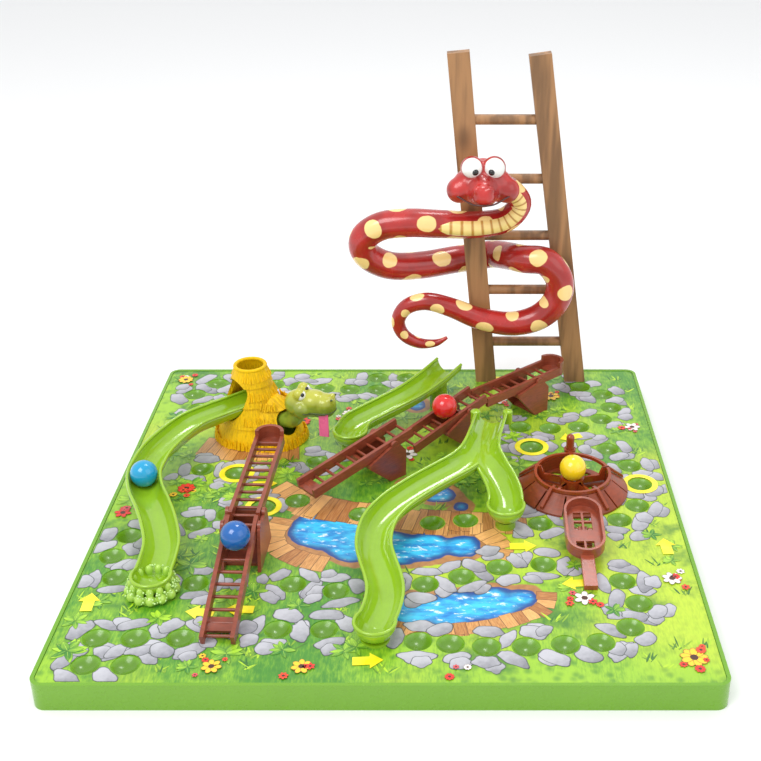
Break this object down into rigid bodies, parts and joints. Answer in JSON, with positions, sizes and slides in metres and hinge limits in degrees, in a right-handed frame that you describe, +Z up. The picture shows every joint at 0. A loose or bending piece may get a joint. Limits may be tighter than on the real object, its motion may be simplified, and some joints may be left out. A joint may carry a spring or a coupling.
{
  "type": "snakes and ladders board",
  "caption": "Square marble-run board game: green tray with cups, slides for balls, tilting ladders, a spinning wheel, a tipping scoop, a thatched hut and a standing ladder.",
  "frame": {"origin": "on the table under the middle of the square tray", "axes": "+Z up, +Y towards the back edge with the standing ladder, +X to the right"},
  "size_m": [0.4, 0.4119, 0.2935],
  "materials": {
    "green_plastic": "moulded green plastic",
    "printed_card": "printed laminated sheet",
    "lime_plastic": "glossy lime plastic",
    "thatch_plastic": "yellow plastic with a thatch texture",
    "brown_plastic": "glossy red-brown plastic",
    "rust_plastic": "glossy rust plastic",
    "olive_plastic": "glossy olive plastic",
    "white_plastic": "white plastic",
    "pink_plastic": "pink plastic",
    "steel": "plain steel pin",
    "wood_plastic": "brown plastic with a wood grain",
    "red_plastic": "glossy red plastic with cream spots",
    "cyan_ball": "glossy ball",
    "blue_ball": "glossy ball",
    "red_ball": "glossy ball",
    "yellow_ball": "glossy ball"
  },
  "bodies": {
    "board": {"catapult_pin": "steel", "catapult_stand": "brown_plastic", "climbing_snake": "red_plastic", "climbing_snake_eyes": "white_plastic", "hut_shell": "thatch_plastic", "hut_snake": "olive_plastic", "hut_snake_eyes": "white_plastic", "hut_snake_tongue": "pink_plastic", "print_sheet": "printed_card", "rungs": "wood_plastic", "slide_back": "lime_plastic", "slide_back_posts": "green_plastic", "slide_fork": "lime_plastic", "slide_fork_posts": "green_plastic", "slide_hut": "lime_plastic", "stile_left": "wood_plastic", "stile_right": "wood_plastic", "tray": "green_plastic", "trestle_back": "brown_plastic", "trestle_front": "brown_plastic", "trestle_left": "brown_plastic", "trestle_middle": "brown_plastic", "wheel_base": "brown_plastic", "wheel_pin": "steel"},
    "left_ladder_low": {"ladder_left_low": "brown_plastic"},
    "left_ladder_high": {"ladder_left_high": "brown_plastic"},
    "long_ladder_low": {"ladder_long_low": "brown_plastic"},
    "long_ladder_middle": {"ladder_long_middle": "brown_plastic"},
    "long_ladder_high": {"ladder_long_high": "brown_plastic"},
    "wheel": {"wheel_spinner": "rust_plastic", "wheel_peg": "brown_plastic"},
    "catapult": {"catapult_lever": "brown_plastic"},
    "cyan_ball": {"ball_cyan": "cyan_ball"},
    "blue_ball": {"ball_blue": "blue_ball"},
    "red_ball": {"ball_red": "red_ball"},
    "yellow_ball": {"ball_yellow": "yellow_ball"}
  },
  "joints": [
    {"name": "long_ladder_low_tilt", "type": "hinge", "parent": "board", "child": "long_ladder_low", "pos_m": [-0.00774, 0.03081, 0.0459], "axis": [-0.6691, 0.7431, 0], "range_deg": [0, 40]},
    {"name": "long_ladder_middle_tilt", "type": "hinge", "parent": "board", "child": "long_ladder_middle", "pos_m": [0.048, 0.081, 0.0459], "axis": [-0.6691, 0.7431, 0], "range_deg": [0, 40]},
    {"name": "long_ladder_high_tilt", "type": "hinge", "parent": "board", "child": "long_ladder_high", "pos_m": [0.10374, 0.13118, 0.0459], "axis": [-0.6691, 0.7431, 0], "range_deg": [0, 25]},
    {"name": "left_ladder_low_tilt", "type": "hinge", "parent": "board", "child": "left_ladder_low", "pos_m": [-0.09465, -0.08048, 0.0459], "axis": [-0.9994, 0.0349, 0], "range_deg": [0, 30]},
    {"name": "left_ladder_high_tilt", "type": "hinge", "parent": "board", "child": "left_ladder_high", "pos_m": [-0.09409, -0.06449, 0.0459], "axis": [0.9994, -0.0349, 0], "range_deg": [0, 30]},
    {"name": "wheel_spin", "type": "hinge", "parent": "board", "child": "wheel", "pos_m": [0.128, 0.0088, 0.02115], "axis": [0, 0, 1], "continuous": true},
    {"name": "catapult_tilt", "type": "hinge", "parent": "board", "child": "catapult", "pos_m": [0.1288, -0.058, 0.0249], "axis": [-1, 0, 0], "range_deg": [0, 35]},
    {"name": "cyan_ball_lift", "type": "slide", "parent": "board", "child": "cyan_ball", "axis": [0, 0, 1], "range_m": [0, 0.05]},
    {"name": "blue_ball_lift", "type": "slide", "parent": "left_ladder_low", "child": "blue_ball", "axis": [0, 0, 1], "range_m": [0, 0.05]},
    {"name": "red_ball_lift", "type": "slide", "parent": "long_ladder_middle", "child": "red_ball", "axis": [0, 0, 1], "range_m": [0, 0.05]},
    {"name": "yellow_ball_lift", "type": "slide", "parent": "wheel", "child": "yellow_ball", "axis": [0, 0, 1], "range_m": [0, 0.05]}
  ]
}
